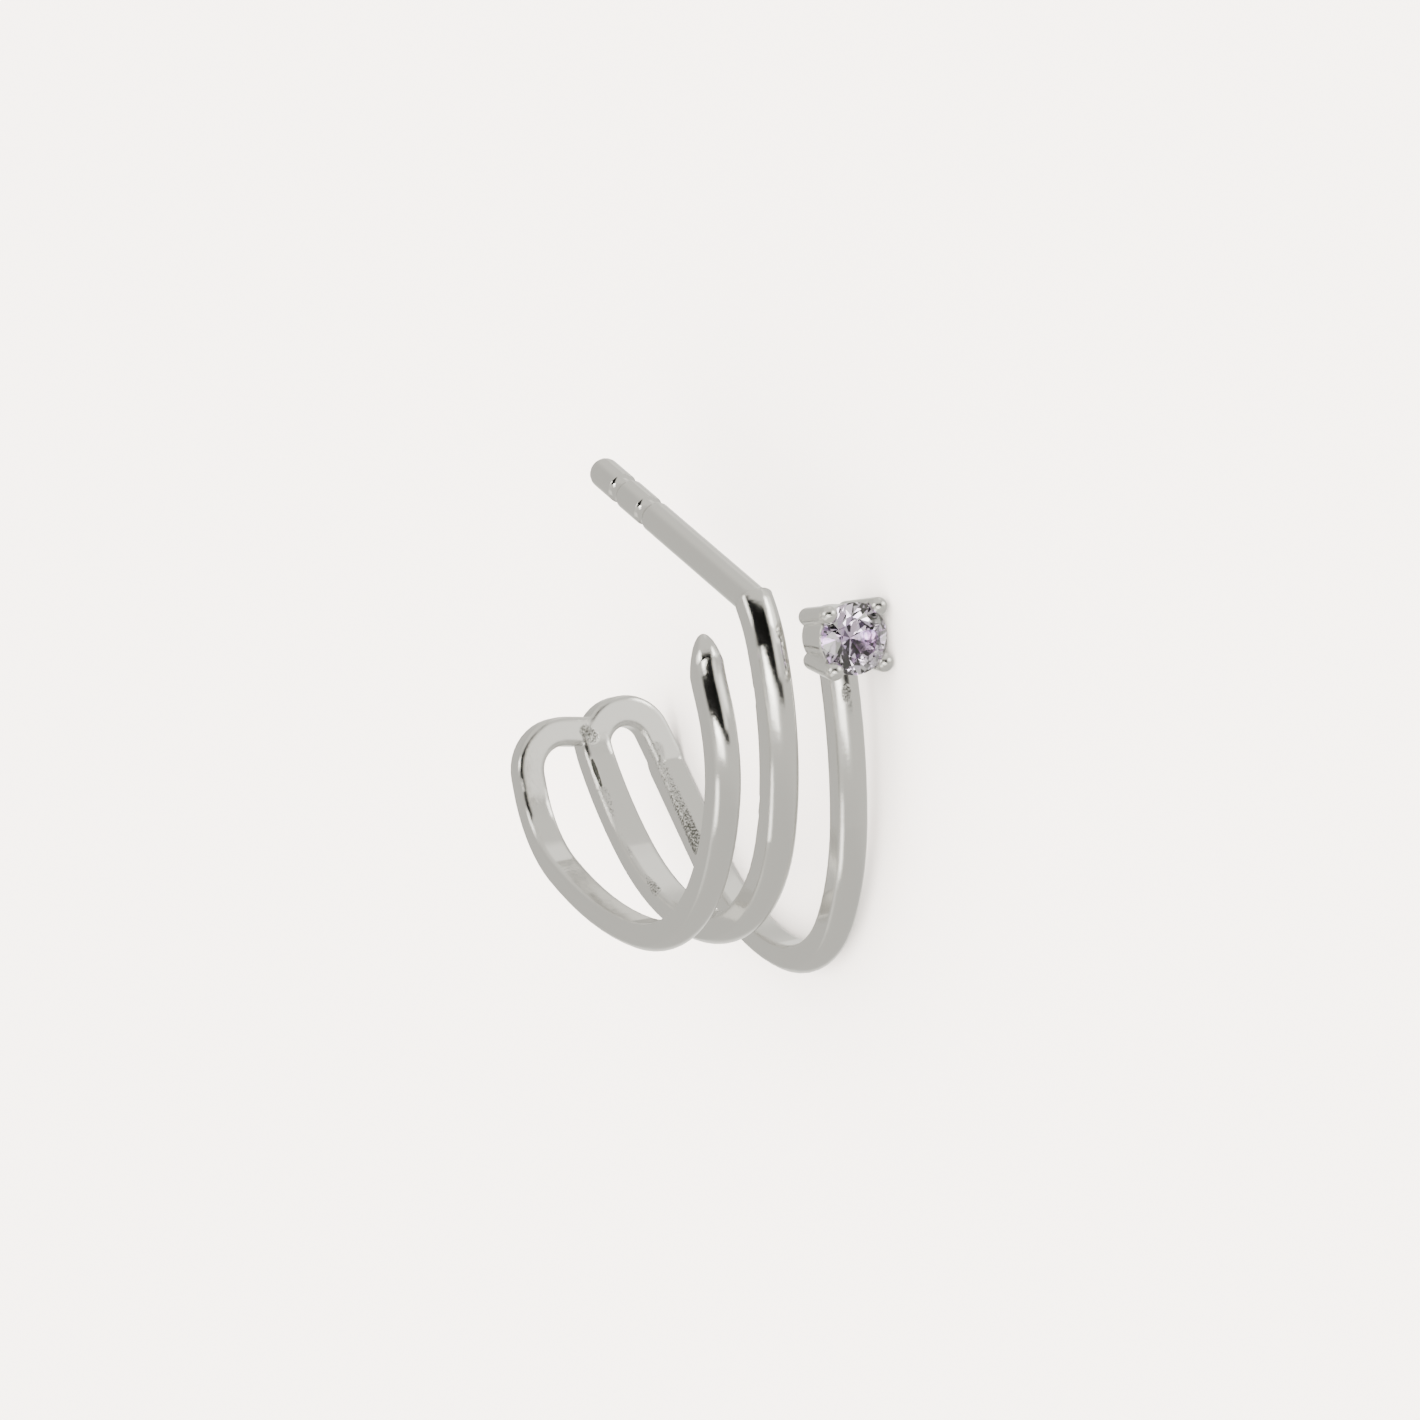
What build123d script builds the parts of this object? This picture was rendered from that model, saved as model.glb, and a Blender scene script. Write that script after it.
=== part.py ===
"""Huggie earring with three joined hoops, an ear post and one claw-set round stone."""

from build123d import *

import os
from math import cos, radians, sin, tan

os.makedirs("parts", exist_ok=True)

# Sizes are millimetres and angles degrees. While the earring is drawn, X runs from the
# pointed hoop to the hoop with the stone, +Y from the front of the ear to the back and
# +Z up along the front bars. At the end it is laid on its side, as it comes to rest.

# Hoops
hoop_size = 11.4            # front of the middle hoop to its back end, on the centre line
hoop_spacing = 2.3          # from one hoop to the next
back_slope = 60             # rise of the wires where they reach the back arches

# Wire section: a flat inner face, two flat sides and a domed outer face
dome_rise = 0.24            # height of the dome over its two edges
dome_edge_radius = 0.07
inner_edge_radius = 0.14

# The three hoops. Each wire is bent from its back end down, forwards along the bottom and
# up to the top of its front bar. A bend has a turn and a radius on the centre line, given
# as a share of hoop_size, and a turn below zero bends the wire outwards.
HOOPS = {
    "pointed": {
        "side": -1,
        "width": 0.88,
        "thickness": 0.88,  # flat inner face to the crown of the dome
        "back_drop": 1.3,   # how far the back end lies below the middle hoop's
        "turns": (53, 25, 51, 22, 37, -20),
        "radius_shares": (0.28, 1.05, 0.52, 0.69, 0.42, 0.41),
        "straight": 0.0,    # length of straight wire after the first bend
        "overrun": 0.12,    # length of straight wire at the top
    },
    "middle": {
        "side": 0,
        "width": 0.98,
        "thickness": 0.92,
        "back_drop": 0.0,
        "turns": (19, 18, 44, 66, 34, 19),
        "radius_shares": (0.21, 0.94, 0.56, 0.48, 0.84, 0.33),
        "straight": 0.0,
        "overrun": 0.42,
    },
    "stone": {
        "side": 1,
        "width": 0.94,
        "thickness": 0.90,
        "back_drop": 1.12,
        "turns": (31, 44, 57, 26, 16),
        "radius_shares": (0.053, 0.62, 0.32, 0.67, 1.34),
        "straight": 3.32,
        "overrun": 0.95,
    },
}

# Back arches, bent in the sloping plane of the back ends. The pointed hoop's wire turns
# over and comes in from the side. The stone hoop's wire leans over first and then comes
# right round and down on the end of the middle hoop.
pointed_arch_height = 0.52  # where its straights would cross, up from the middle hoop's end
pointed_arch_turn = 100
pointed_arch_radius = 1.18
stone_arch_lean = 17
stone_arch_lean_radius = 0.6
stone_arch_radius = 1.04

# Rounded ends of two front bars, each trimmed to the end of an ellipse. Where a bar still
# bends within its nose, the ellipse leans off the bar's last line and sits further inwards.
NOSES = {
    "pointed": {"radius": 0.62, "length": 2.3, "trimmed": 1.8, "lean": 8, "inwards": 0.05},
    "middle": {"radius": 0.62, "length": 0.42, "trimmed": 0.42, "lean": 0, "inwards": 0},
}
nose_clearance = 0.4        # how far the trimming reaches beyond the nose all round

# Ear post
post_diameter = 0.93
post_reach = 9.86           # top of the middle hoop, on its centre line, to the post's tip
post_tip_radius = 0.38
notch_count = 2
notch_depth = 0.11
notch_radius = 0.36
notch_from_tip = 1.75       # tip to the first notch
notch_pitch = 1.65          # first notch to the second

# Round brilliant stone, measured from its girdle
stone_diameter = 2.1
table_share = 0.57          # table across its corners, as a share of stone_diameter
girdle_thickness = 0.08
crown_angle = 34.5
star_angle = 21
upper_half_angle = 41
pavilion_angle = 41
lower_half_angle = 42.2
main_facets = 8

# Setting: a cup with four claws round the stone
stone_forward = 0.59        # stone's centre in front of the top of its hoop
stone_raise = 1.556         # and above that top
stone_tilt = 21             # upward tilt of the stone's face
seat_gap = 0.06             # all round the stone
cup_depth = 1.55            # girdle to the back of the cup
cup_rim_diameter = 2.02
cup_back_diameter = 1.80
cup_edge_radius = 0.12
rim_below_girdle = 0.08
claw_count = 4
claw_diameter = 0.55
claw_circle_front = 1.15    # radius of the circle of claws at their tips
claw_circle_back = 0.90
claw_tip_height = 0.13      # centre of a claw's round tip in front of the girdle
claw_back_depth = 1.46      # centre of a claw's round back end behind the girdle

# Pose at rest: it lies on its side, on one claw and on the side of the stone hoop
turn_to_side = 87.6
lean_on_claw = -1.2

# Directions, and the middle hoop's back end, from which everything is measured
across = Vector(1, 0, 0)
backwards = Vector(0, 1, 0)
rise = Vector(0, cos(radians(back_slope)), sin(radians(back_slope)))
back_end = Vector(0, 0, 0)


def hoop_back(hoop):
    """Back end of a hoop, where its arch begins."""
    return back_end + across * hoop["side"] * hoop_spacing - rise * hoop["back_drop"]


def wire_section(hoop, place):
    """Sketch of a hoop's rounded wire, with the domed face towards the place's local Y."""
    half = hoop["width"] / 2
    inner = -hoop["thickness"] / 2
    crown = hoop["thickness"] / 2
    edge = crown - dome_rise
    with BuildSketch(place) as section:
        with BuildLine():
            Polyline((-half, edge), (-half, inner), (half, inner), (half, edge))
            ThreePointArc((half, edge), (0, crown), (-half, edge))
        make_face()
        inner_corners = section.sketch_local.vertices().group_by(Axis.Y)[0]
        fillet(inner_corners, inner_edge_radius)
        dome_corners = section.sketch_local.vertices().group_by(Axis.Y)[-1]
        fillet(dome_corners, dome_edge_radius)
    return section.sketch


def run_straight(hoop, place, length):
    """Run the wire straight on from a place and return the place at its end."""
    extrude(wire_section(hoop, place), amount=length)
    end = place.origin + place.z_dir * length
    return Plane(end, x_dir=place.x_dir, z_dir=place.z_dir)


def bend(hoop, place, turn, radius, inwards):
    """Bend the wire on from a place towards one side and return the place at its end."""
    centre = place.origin + inwards * radius
    spin = Axis((0, 0, 0), place.z_dir.cross(inwards))
    revolve(wire_section(hoop, place), Axis(centre, spin.direction), revolution_arc=turn)
    return Plane(
        centre + (place.origin - centre).rotate(spin, turn),
        x_dir=place.x_dir.rotate(spin, turn),
        z_dir=place.z_dir.rotate(spin, turn),
    )


def bend_hoop(hoop):
    """Bend a hoop from its back end and return the place at the top of its front bar."""
    place = Plane(hoop_back(hoop), x_dir=-across, z_dir=-rise)
    for number, (turn, share) in enumerate(zip(hoop["turns"], hoop["radius_shares"])):
        side = -1 if turn > 0 else 1
        place = bend(hoop, place, abs(turn), share * hoop_size, place.y_dir * side)
        if number == 0 and hoop["straight"] > 0:
            place = run_straight(hoop, place, hoop["straight"])
    run_straight(hoop, place, hoop["overrun"])
    return place


def bend_pointed_arch(hoop):
    """Arch that turns over to the side and runs into the middle hoop's wire."""
    setback = pointed_arch_radius * tan(radians(pointed_arch_turn / 2))
    place = Plane(hoop_back(hoop), x_dir=across, z_dir=rise)
    place = run_straight(hoop, place, hoop["back_drop"] + pointed_arch_height - setback)
    place = bend(hoop, place, pointed_arch_turn, pointed_arch_radius, across)
    run_straight(hoop, place, -place.origin.X / place.z_dir.X)


def bend_stone_arch(hoop):
    """Arch that leans over and comes round and down on the middle hoop's end."""
    place = Plane(hoop_back(hoop), x_dir=across, z_dir=rise)
    place = bend(hoop, place, stone_arch_lean, stone_arch_lean_radius, -across)
    reach = stone_arch_radius * (1 + cos(radians(stone_arch_lean)))
    place = run_straight(hoop, place, (place.origin.X - reach) / -place.z_dir.X)
    bend(hoop, place, 180 - stone_arch_lean, stone_arch_radius, -place.x_dir)


def trim_to_nose(place, overrun, nose):
    """Cut the end of a front bar down to a nose of elliptic outline."""
    reach = nose["radius"] + nose_clearance
    sideways = Axis((0, 0, 0), place.x_dir)
    line = place.z_dir.rotate(sideways, nose["lean"])
    facing = -place.y_dir.rotate(sideways, nose["lean"])
    tip = place.origin + place.z_dir * overrun - place.y_dir * nose["inwards"]
    base = tip - line * nose["length"]
    with BuildSketch(Plane(base, x_dir=place.x_dir, z_dir=facing)) as outside_nose:
        with Locations((0, nose["length"] - nose["trimmed"])):
            Rectangle(reach, nose["trimmed"] + nose_clearance, align=(Align.MIN, Align.MIN))
        Ellipse(nose["radius"], nose["length"], mode=Mode.SUBTRACT)
    revolve(outside_nose.sketch, Axis(base, line), mode=Mode.SUBTRACT)


# Stone's own heights and radii
stone_radius = stone_diameter / 2
half_girdle = girdle_thickness / 2
table_radius = table_share * stone_radius
table_height = half_girdle + (stone_radius - table_radius) * tan(radians(crown_angle))
culet_depth = half_girdle + stone_radius * tan(radians(pavilion_angle))
stone_facing = Vector(0, -cos(radians(stone_tilt)), sin(radians(stone_tilt)))

# Metal frame as drawn: hoops, arches, post and setting, soldered into one piece
with BuildPart() as drawn_frame:
    tops = {}
    for name, hoop in HOOPS.items():
        tops[name] = bend_hoop(hoop)
        if name in NOSES:
            trim_to_nose(tops[name], hoop["overrun"], NOSES[name])
    bend_stone_arch(HOOPS["stone"])
    bend_pointed_arch(HOOPS["pointed"])

    # Notched post with a round tip, from the top of the middle hoop
    post_start = tops["middle"].origin
    with BuildSketch(Plane(post_start, x_dir=backwards, z_dir=across)) as post_half:
        Rectangle(post_reach, post_diameter / 2, align=(Align.MIN, Align.MIN))
        tip = post_half.sketch_local.vertices().group_by(Axis.X)[-1].sort_by(Axis.Y)[-1]
        fillet(tip, post_tip_radius)
        for notch in range(notch_count):
            along = post_reach - notch_from_tip - notch * notch_pitch
            with Locations((along, post_diameter / 2 + notch_radius - notch_depth)):
                Circle(notch_radius, mode=Mode.SUBTRACT)
    revolve(axis=Axis(post_start, backwards))

    # Cup behind the stone, drawn in half with local Y out through the stone's table
    stone_home = tops["stone"].origin + Vector(0, -stone_forward, stone_raise)
    girdle_plane = Plane(stone_home, x_dir=across, z_dir=stone_facing)
    side_plane = Plane(stone_home, x_dir=stone_facing.cross(across), z_dir=across)
    with BuildSketch(side_plane) as cup_half:
        with BuildLine():
            Polyline(
                (0, -rim_below_girdle),
                (cup_rim_diameter / 2, -rim_below_girdle),
                (cup_back_diameter / 2, -cup_depth),
                (0, -cup_depth),
                close=True,
            )
        make_face()
        back_edge = cup_half.sketch_local.vertices().group_by(Axis.Y)[0].sort_by(Axis.X)[-1]
        fillet(back_edge, cup_edge_radius)
    revolve(axis=Axis(stone_home, stone_facing))

    # Claws with round ends, leaning outwards towards the front
    for claw in range(claw_count):
        turn = radians((claw + 0.5) * 360 / claw_count)
        outwards = girdle_plane.x_dir * cos(turn) + girdle_plane.y_dir * sin(turn)
        claw_back = stone_home + outwards * claw_circle_back - stone_facing * claw_back_depth
        claw_tip = stone_home + outwards * claw_circle_front + stone_facing * claw_tip_height
        claw_line = claw_tip - claw_back
        with BuildSketch(Plane(claw_back, x_dir=claw_line, z_dir=outwards.cross(claw_line))):
            with Locations((claw_line.length / 2, 0)):
                SlotCenterToCenter(claw_line.length, claw_diameter)
                Rectangle(
                    claw_line.length + claw_diameter,
                    claw_diameter / 2,
                    align=(Align.CENTER, Align.MAX),
                    mode=Mode.SUBTRACT,
                )
        revolve(axis=Axis(claw_back, claw_line))

    # Seat for the stone, with room all round it
    with BuildSketch(side_plane) as seat_half:
        with BuildLine():
            Polyline(
                (0, table_height),
                (table_radius, table_height),
                (stone_radius, half_girdle),
                (stone_radius, -half_girdle),
                (0, -culet_depth),
            )
            mirror(about=Plane.YZ)
        make_face()
        offset(amount=seat_gap, kind=Kind.INTERSECTION)
        Rectangle(
            stone_diameter,
            2 * stone_diameter,
            align=(Align.MIN, Align.CENTER),
            mode=Mode.INTERSECT,
        )
    revolve(axis=Axis(stone_home, stone_facing), mode=Mode.SUBTRACT)


def cut_facets(count, angle, height, radius, turned):
    """Cut a ring of facets whose planes all pass the given height and radius."""
    steep = radians(angle)
    side = 1 if height > 0 else -1
    for facet in range(count):
        azimuth = radians((facet + turned) * 360 / count)
        outwards = girdle_plane.x_dir * cos(azimuth) + girdle_plane.y_dir * sin(azimuth)
        facing = outwards * sin(steep) + stone_facing * side * cos(steep)
        place = stone_home + outwards * radius + stone_facing * height
        split(bisect_by=Plane(place, z_dir=facing), keep=Keep.BOTTOM)


# Stone as drawn: a many-sided prism cut down by rings of facets
with BuildPart() as drawn_stone:
    with BuildSketch(girdle_plane.offset(-culet_depth)):
        RegularPolygon(stone_radius, 4 * main_facets)
    extrude(amount=culet_depth + table_height)
    star_radius = table_radius * cos(radians(180 / main_facets))
    cut_facets(main_facets, crown_angle, half_girdle, stone_radius, 0)
    cut_facets(main_facets, pavilion_angle, -half_girdle, stone_radius, 0)
    cut_facets(main_facets, star_angle, table_height, star_radius, 0.5)
    cut_facets(2 * main_facets, upper_half_angle, half_girdle, stone_radius, 0.5)
    cut_facets(2 * main_facets, lower_half_angle, -half_girdle, stone_radius, 0.5)

# The pose at rest, with its lowest point on the ground and its middle over the origin
laid = Rotation(lean_on_claw, turn_to_side, 0)
both = Compound([drawn_frame.part.moved(laid), drawn_stone.part.moved(laid)])
box = both.bounding_box()
home = Pos(-box.center().X, -box.center().Y, -box.min.Z) * laid

# Metal frame, one soldered piece
with BuildPart() as earring_frame:
    with Locations(home):
        add(drawn_frame.part)

# Round brilliant stone
with BuildPart() as stone:
    with Locations(home):
        add(drawn_stone.part)

earring_frame.part.label = "earring_frame"
export_step(earring_frame.part, "parts/earring_frame.step")
stone.part.label = "stone"
export_step(stone.part, "parts/stone.step")
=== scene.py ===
from math import cos, radians, sin

import bpy
from mathutils import Matrix, Vector

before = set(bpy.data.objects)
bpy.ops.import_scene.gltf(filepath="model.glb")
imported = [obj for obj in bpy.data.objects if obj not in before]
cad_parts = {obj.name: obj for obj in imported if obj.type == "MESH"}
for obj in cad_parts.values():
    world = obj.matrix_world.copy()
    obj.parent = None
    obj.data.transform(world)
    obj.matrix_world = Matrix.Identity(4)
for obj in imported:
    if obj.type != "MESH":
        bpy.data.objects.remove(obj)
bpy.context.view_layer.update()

# Camera, in metres and degrees. The photo looks at the earring as if it stood upright, so
# the camera is rolled to the side here, where the earring lies as it comes to rest.
AIM = Vector((0.0017156, -0.0012773, 0.0032169))
AZIMUTH = 29.05
ELEVATION = 28.5
ROLL = 98.61
DISTANCE = 0.185
LENS = 161.33
SENSOR = 36
CLIP_START = 0.005
CLIP_END = 10

# Floor of pale paper under a broad lamp overhead, and a backdrop of the same brightness.
FLOOR_SIZE = 4
PAPER = (0.90, 0.895, 0.89, 1)
PAPER_ROUGHNESS = 0.9
LAMP_STRENGTH = 20.4
LAMP_ANGLE = 150
LAMP_TILT = (8, -10)
LAMP_COLOUR = (1.0, 0.895, 0.815)
BACKDROP = 6.67

# Light tent that the metal and the stone mirror. It is laid out on a round map of all
# directions: the middle is the photo's camera, the rim the far side, x goes right and y up
# in the photo. Here and below, a fade goes from its full effect to none.
TENT_TINT = (1.0, 0.98, 0.90, 1)
TENT_LOW = 0.80
TENT_MIDDLE = 0.92
TENT_HIGH = 1.00
LOW_FADE = (-0.45, -0.15)
HIGH_FADE = (0.45, 0.15)
RIM_LIGHT = 1.6
RIM_FADE = (1.0, 0.94)
SMALLEST_SPREAD = 0.0001

# Panels of the tent, in the order in which they cover each other. For each: its middle and
# half size on the map, its tilt in degrees, the width of its soft edge, and its light.
PANELS = {
    "left_shade": ((-0.80, 0.25), (0.35, 0.75), 0, 0.30, 0.78),
    "inner_glow": ((0.16, 0.78), (0.10, 0.13), 25, 0.12, 1.5),
    "right_glow": ((0.58, 0.28), (0.12, 0.14), 0, 0.10, 2.4),
    "right_panel": ((0.49, 0.32), (0.05, 0.09), -10, 0.03, 8.0),
    "left_glow": ((-0.48, 0.12), (0.11, 0.09), 15, 0.08, 3.0),
    "left_panel": ((-0.40, 0.16), (0.05, 0.08), -15, 0.03, 10.0),
    "window_glow": ((0.00, -0.12), (0.28, 0.09), 3, 0.10, 1.4),
    "window": ((0.01, -0.13), (0.16, 0.06), -3, 0.05, 4.5),
    "opening": ((-0.01, 0.11), (0.35, 0.175), 10, 0.03, 0.01),
    "opening_left": ((-0.29, 0.03), (0.06, 0.06), 20, 0.03, 0.02),
    "opening_right": ((0.28, 0.02), (0.10, 0.07), 8, 0.03, 0.015),
    "opening_edge": ((0.40, -0.04), (0.12, 0.035), 6, 0.03, 0.05),
    "opening_corner": ((-0.27, -0.09), (0.10, 0.06), 0, 0.04, 0.9),
    "window_top": ((-0.05, -0.075), (0.12, 0.045), -5, 0.03, 8.0),
    "inner_light": ((0.45, 0.10), (0.08, 0.08), 0, 0.08, 1.55),
    "low_panel": ((-0.28, -0.38), (0.07, 0.08), 0, 0.06, 4.0),
    "low_glow": ((-0.48, -0.45), (0.10, 0.12), 0, 0.10, 1.3),
}

# Silver. Lengths in metres, scales in waves per metre.
SILVER = (0.80, 0.79, 0.77, 1)
SILVER_ROUGHNESS = (0.06, 0.14)
WAVE_SCALE = 900
WAVE_DETAIL = 2.0
WAVE_DEPTH = 0.000008
GRAIN_SCALE = 9000
GRAIN_DETAIL = 3.0
GRAIN_DEPTH = 0.0000012

# The silver's edges look rounded by the first radius, and by the second at the notches of
# the post, which are given by a start, end and radius in millimetres.
EDGE_RADIUS = (0.00016, 0.00004)
EDGE_SAMPLES = 6
NOTCHES = ((6.12, 3.50, 3.26), (6.12, 6.50, 3.20), 0.90)

# Rough metal, with a speckle of bumps and dark pits. Along one crease the pits run together
# into a painted dark reflection line.
SPECKLE_SCALE = 17000
SPECKLE_DETAIL = 2.0
SPECKLE_DEPTH = 0.0000115
SPECKLE_ROUGHNESS = 0.30
# Colour of the dark pits, and of the painted dark reflection line along the crease.
PITS_AND_DARK_REFLECTION = (0.12, 0.12, 0.11, 1)
PITS_AND_REFLECTION_FADE = (1.22, 0.84)

# Stretches that were left rough, in millimetres. For each: its start, end and radius, how
# dense the pits are at both ends, and the height of its bumps as a share of SPECKLE_DEPTH.
# Pits are rare at a density of 0.3 and cover half of the surface at about 0.5.
ROUGH = {
    "solder": ((-2.25, 5.74, 3.14), (-2.41, 5.62, 2.98), 0.26, (0.50, 0.50), 1.0),
    "fork": ((-2.66, 5.67, 3.52), (-2.60, 5.70, 3.40), 0.18, (0.45, 0.45), 1.0),
    "notch": ((-2.05, 6.31, 2.86), (-2.05, 6.31, 2.80), 0.20, (0.35, 0.35), 1.0),
    # At its start this crease's pits are dense enough to run together into a painted dark
    # reflection line.
    "crease": ((-3.00, 5.20, 3.18), (-4.70, 2.20, 3.27), 0.10, (0.80, 0.42), 0.6),
    "middle": ((-3.60, 4.30, 3.20), (-5.09, 0.54, 3.30), 0.24, (0.38, 0.48), 0.6),
    "stone_hoop": ((-3.00, 5.25, 0.94), (-4.85, 2.30, 0.93), 0.34, (0.36, 0.62), 0.3),
    "under_setting": ((3.83, -5.14, 1.12), (3.40, -5.10, 1.12), 0.20, (0.55, 0.45), 1.0),
}
MILLIMETRES_PER_METRE = 1000
FULL_SHARE = 0.6  # share of its radius within which a stretch has its full effect

# Stone, lilac to pink round its axis and clear towards its rim. Lengths in metres.
STONE_CENTRE = (0.0054946, -0.0052015, 0.0011085)
STONE_FACING = (0.358, -0.933, 0.0346)
STONE_INDEX = 2.0
LILAC = (0.76, 0.58, 1.00, 1)
PINK = (0.88, 0.61, 0.98, 1)
CLEAR = (0.97, 0.95, 1.00, 1)
CLEAR_FADE = (0.0009, 0.0005)
CLOUD_SCALE = 3500
CLOUD_DETAIL = 3.0
CLOUD_FADE = (0.60, 0.40)


class Shading:
    """Short ways to add nodes to one node tree."""

    def __init__(self, tree):
        self.nodes = tree.nodes
        self.links = tree.links

    def put(self, socket, value):
        if isinstance(value, bpy.types.NodeSocket):
            self.links.new(value, socket)
        else:
            socket.default_value = value

    def operation(self, kind, operation, values):
        node = self.nodes.new(kind)
        node.operation = operation
        for number, value in enumerate(values):
            self.put(node.inputs[number], value)
        return node

    def math(self, operation, *values):
        return self.operation("ShaderNodeMath", operation, values).outputs[0]

    def vector(self, operation, *values):
        """Work on vectors that gives a vector."""
        return self.operation("ShaderNodeVectorMath", operation, values).outputs["Vector"]

    def measure(self, operation, *values):
        """Work on vectors that gives a number."""
        return self.operation("ShaderNodeVectorMath", operation, values).outputs["Value"]

    def fade(self, value, full, none):
        """1 at the full end and past it, down to 0 at the other end and past that."""
        node = self.nodes.new("ShaderNodeMapRange")
        node.interpolation_type = "SMOOTHSTEP"
        self.put(node.inputs["Value"], value)
        node.inputs["From Min"].default_value = min(full, none)
        node.inputs["From Max"].default_value = max(full, none)
        node.inputs["To Min"].default_value = 1.0 if full < none else 0.0
        node.inputs["To Max"].default_value = 0.0 if full < none else 1.0
        return node.outputs["Result"]

    def blend(self, share, first, second):
        node = self.nodes.new("ShaderNodeMix")
        node.data_type = "FLOAT"
        self.put(node.inputs["Factor"], share)
        self.put(node.inputs["A"], first)
        self.put(node.inputs["B"], second)
        return node.outputs["Result"]

    def colour(self, share, first, second):
        """Blend of two colours. The mix node has its colour sockets at these numbers."""
        node = self.nodes.new("ShaderNodeMix")
        node.data_type = "RGBA"
        self.put(node.inputs[0], share)
        self.put(node.inputs[6], first)
        self.put(node.inputs[7], second)
        return node.outputs[2]

    def noise(self, place, scale, detail):
        node = self.nodes.new("ShaderNodeTexNoise")
        self.put(node.inputs["Vector"], place)
        node.inputs["Scale"].default_value = scale
        node.inputs["Detail"].default_value = detail
        return node.outputs["Fac"]

    def near(self, place, start, end, radius):
        """1 close to a stretch and 0 past its radius, and how far along it lies."""
        start, end = (Vector(point) / MILLIMETRES_PER_METRE for point in (start, end))
        radius = radius / MILLIMETRES_PER_METRE
        line = end - start
        offset = self.vector("SUBTRACT", place, start)
        along = self.math("DIVIDE", self.measure("DOT_PRODUCT", offset, line), line.length_squared)
        along.node.use_clamp = True
        distance = self.measure("DISTANCE", offset, self.vector("MULTIPLY", along, line))
        return self.fade(distance, radius * FULL_SHARE, radius), along


def new_material(name):
    """A material with its main shader and ways to add nodes to it."""
    material = bpy.data.materials.new(name)
    material.use_nodes = True
    tree = material.node_tree
    return material, tree.nodes["Principled BSDF"], Shading(tree)


def camera_axes():
    """Right, up and back directions of the photo's camera."""
    a, e, r = radians(AZIMUTH), radians(ELEVATION), radians(ROLL)
    right = Vector((cos(a), sin(a), 0))
    up = Vector((-sin(a) * sin(e), cos(a) * sin(e), cos(e)))
    back = Vector((sin(a) * cos(e), -cos(a) * cos(e), sin(e)))
    return right * cos(r) - up * sin(r), up * cos(r) + right * sin(r), back


def add_camera(right, up, back):
    data = bpy.data.cameras.new("camera")
    data.lens = LENS
    data.sensor_width = SENSOR
    data.clip_start = CLIP_START
    data.clip_end = CLIP_END
    camera = bpy.data.objects.new("camera", data)
    bpy.context.scene.collection.objects.link(camera)
    turn = Matrix((right, up, back)).transposed().to_4x4()
    camera.matrix_world = Matrix.Translation(AIM + back * DISTANCE) @ turn
    bpy.context.scene.camera = camera


def tent_map(shading, direction, right, up, back):
    """Place of a direction on the round map, and how far out from its middle it lies.

    A direction at the angle t from the photo's camera lies at sin(t / 2).
    """
    towards = shading.measure("DOT_PRODUCT", direction, back)
    spread = shading.math("MULTIPLY_ADD", towards, 2.0, 2.0)
    spread = shading.math("SQRT", shading.math("MAXIMUM", spread, SMALLEST_SPREAD))
    x, y = (
        shading.math("DIVIDE", shading.measure("DOT_PRODUCT", direction, axis), spread)
        for axis in (right, up)
    )
    outwards = shading.math("MULTIPLY_ADD", towards, -0.5, 0.5)
    outwards = shading.math("SQRT", shading.math("MAXIMUM", outwards, 0.0))
    return x, y, outwards


def panel_mask(shading, x, y, middle, half_size, tilt, edge):
    """1 on a tilted rectangle of the map and 0 beyond its soft edge."""
    c, s = cos(radians(tilt)), sin(radians(tilt))
    dx = shading.math("SUBTRACT", x, middle[0])
    dy = shading.math("SUBTRACT", y, middle[1])
    masks = []
    for half, share_x, share_y in ((half_size[0], c, s), (half_size[1], -s, c)):
        offset = shading.math(
            "ADD", shading.math("MULTIPLY", dx, share_x), shading.math("MULTIPLY", dy, share_y)
        )
        offset = shading.math("ABSOLUTE", offset)
        masks.append(shading.fade(offset, half - edge / 2, half + edge / 2))
    return shading.math("MULTIPLY", *masks)


def build_world(right, up, back):
    """Light tent that the metal mirrors, and a plain backdrop that only the camera sees."""
    world = bpy.data.worlds.new("studio")
    bpy.context.scene.world = world
    world.use_nodes = True
    nodes, links = world.node_tree.nodes, world.node_tree.links
    shading = Shading(world.node_tree)
    direction = nodes.new("ShaderNodeTexCoord").outputs["Generated"]
    x, y, outwards = tent_map(shading, direction, right, up, back)
    light = shading.blend(shading.fade(y, *HIGH_FADE), TENT_MIDDLE, TENT_HIGH)
    light = shading.blend(shading.fade(y, *LOW_FADE), light, TENT_LOW)
    light = shading.blend(shading.fade(outwards, *RIM_FADE), light, RIM_LIGHT)
    for middle, half_size, tilt, edge, panel_light in PANELS.values():
        mask = panel_mask(shading, x, y, middle, half_size, tilt, edge)
        light = shading.blend(mask, light, panel_light)
    tent = nodes["Background"]
    tent.inputs["Color"].default_value = TENT_TINT
    links.new(light, tent.inputs["Strength"])
    backdrop = nodes.new("ShaderNodeBackground")
    lit_paper = [paper * lamp for paper, lamp in zip(PAPER, LAMP_COLOUR)]
    backdrop.inputs["Color"].default_value = [*lit_paper, 1]
    backdrop.inputs["Strength"].default_value = BACKDROP
    seen = nodes.new("ShaderNodeMixShader")
    links.new(nodes.new("ShaderNodeLightPath").outputs["Is Camera Ray"], seen.inputs[0])
    links.new(tent.outputs[0], seen.inputs[1])
    links.new(backdrop.outputs[0], seen.inputs[2])
    links.new(seen.outputs[0], nodes["World Output"].inputs["Surface"])


def hide_from_mirrors(thing):
    """Keeps a thing out of the reflections and out of what the stone lets through."""
    thing.visible_glossy = False
    thing.visible_transmission = False


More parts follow.
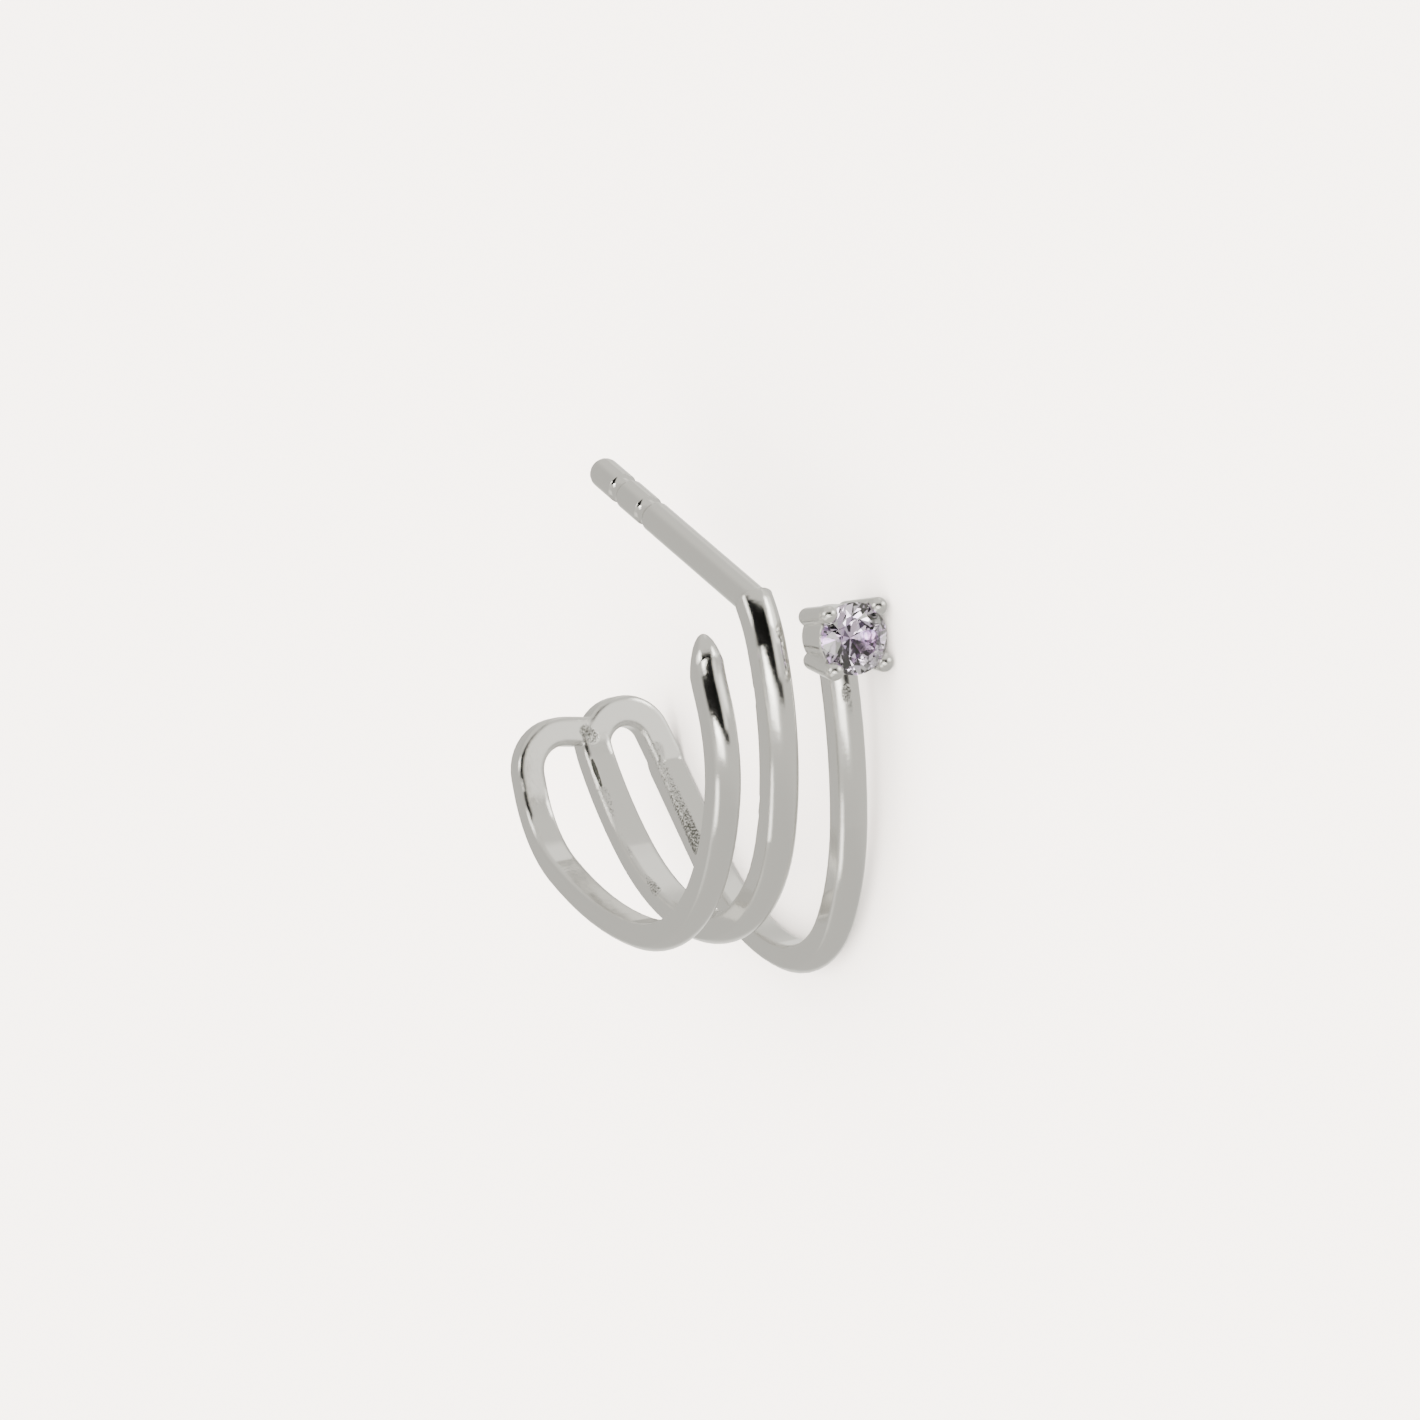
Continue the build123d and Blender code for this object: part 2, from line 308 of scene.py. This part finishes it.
def add_floor_and_lamp():
    bpy.ops.mesh.primitive_plane_add(size=FLOOR_SIZE, location=(0, 0, 0))
    floor = bpy.context.object
    floor.name = "floor"
    paper, shader, _ = new_material("paper")
    shader.inputs["Base Color"].default_value = PAPER
    shader.inputs["Roughness"].default_value = PAPER_ROUGHNESS
    shader.inputs["Specular IOR Level"].default_value = 0.0
    floor.data.materials.append(paper)
    hide_from_mirrors(floor)
    data = bpy.data.lights.new("lamp", "SUN")
    data.energy = LAMP_STRENGTH
    data.color = LAMP_COLOUR
    data.angle = radians(LAMP_ANGLE)
    lamp = bpy.data.objects.new("lamp", data)
    bpy.context.scene.collection.objects.link(lamp)
    lamp.rotation_euler = (radians(LAMP_TILT[0]), radians(LAMP_TILT[1]), 0)
    hide_from_mirrors(lamp)


def rough_places(shading, place):
    """Where the metal is rough, how high its bumps are, and how dense its pits and the painted
    dark reflection line along the crease are.
    """
    rough, bumps, pits_and_reflection = 0.0, 0.0, 0.0
    for start, end, radius, densities, height in ROUGH.values():
        mask, along = shading.near(place, start, end, radius)
        density = shading.blend(along, *densities)
        rough = shading.math("MAXIMUM", rough, mask)
        bumps = shading.math("MAXIMUM", bumps, shading.math("MULTIPLY", mask, height))
        pits_and_reflection = shading.math("MAXIMUM", pits_and_reflection, shading.math("MULTIPLY", mask, density))
    return rough, bumps, pits_and_reflection


def silver_material():
    """Polished silver with faint waves, rough speckled metal where it was soldered, and a painted
    dark reflection line along a crease.
    """
    silver, shader, shading = new_material("silver")
    place = shading.nodes.new("ShaderNodeTexCoord").outputs["Object"]
    waves = shading.noise(place, WAVE_SCALE, WAVE_DETAIL)
    grain = shading.noise(place, GRAIN_SCALE, GRAIN_DETAIL)
    speckle = shading.noise(place, SPECKLE_SCALE, SPECKLE_DETAIL)
    rough, bumps, pits_and_reflection = rough_places(shading, place)

    # Dark pits, and along the crease a painted dark reflection line.
    dark_pits_and_reflection = shading.fade(shading.math("ADD", speckle, pits_and_reflection), *PITS_AND_REFLECTION_FADE)
    roughness = shading.blend(grain, *SILVER_ROUGHNESS)
    roughness = shading.blend(rough, roughness, SPECKLE_ROUGHNESS)
    shading.put(shader.inputs["Base Color"], shading.colour(dark_pits_and_reflection, SILVER, PITS_AND_DARK_REFLECTION))
    shading.put(shader.inputs["Roughness"], roughness)
    shader.inputs["Metallic"].default_value = 1.0

    edges = shading.nodes.new("ShaderNodeBevel")
    edges.samples = EDGE_SAMPLES
    notched, _ = shading.near(place, *NOTCHES)
    shading.put(edges.inputs["Radius"], shading.blend(notched, *EDGE_RADIUS))
    height = shading.math("MULTIPLY", waves, WAVE_DEPTH)
    height = shading.math("ADD", height, shading.math("MULTIPLY", grain, GRAIN_DEPTH))
    rough_height = shading.math("MULTIPLY", speckle, SPECKLE_DEPTH)
    height = shading.math("ADD", height, shading.math("MULTIPLY", rough_height, bumps))
    bump = shading.nodes.new("ShaderNodeBump")
    bump.inputs["Strength"].default_value = 1.0
    bump.inputs["Distance"].default_value = 1.0
    shading.put(bump.inputs["Height"], height)
    shading.put(bump.inputs["Normal"], edges.outputs["Normal"])
    shading.put(shader.inputs["Normal"], bump.outputs["Normal"])
    return silver


def crystal_material():
    """Crystal that is lilac to pink round the stone's axis and clear towards its rim."""
    crystal, shader, shading = new_material("lilac_crystal")
    place = shading.nodes.new("ShaderNodeTexCoord").outputs["Object"]
    offset = shading.vector("SUBTRACT", place, STONE_CENTRE)
    sideways = shading.vector("CROSS_PRODUCT", offset, Vector(STONE_FACING).normalized())
    clear = shading.fade(shading.measure("LENGTH", sideways), *CLEAR_FADE)
    clouds = shading.fade(shading.noise(place, CLOUD_SCALE, CLOUD_DETAIL), *CLOUD_FADE)
    tinted = shading.colour(clouds, LILAC, PINK)
    shading.put(shader.inputs["Base Color"], shading.colour(clear, tinted, CLEAR))
    shader.inputs["Roughness"].default_value = 0.0
    shader.inputs["IOR"].default_value = STONE_INDEX
    shader.inputs["Transmission Weight"].default_value = 1.0
    return crystal


RIGHT, UP, BACK = camera_axes()
add_camera(RIGHT, UP, BACK)
build_world(RIGHT, UP, BACK)
add_floor_and_lamp()
for node, material in (("earring_frame", silver_material()), ("stone", crystal_material())):
    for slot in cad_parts[node].material_slots:
        slot.material = material
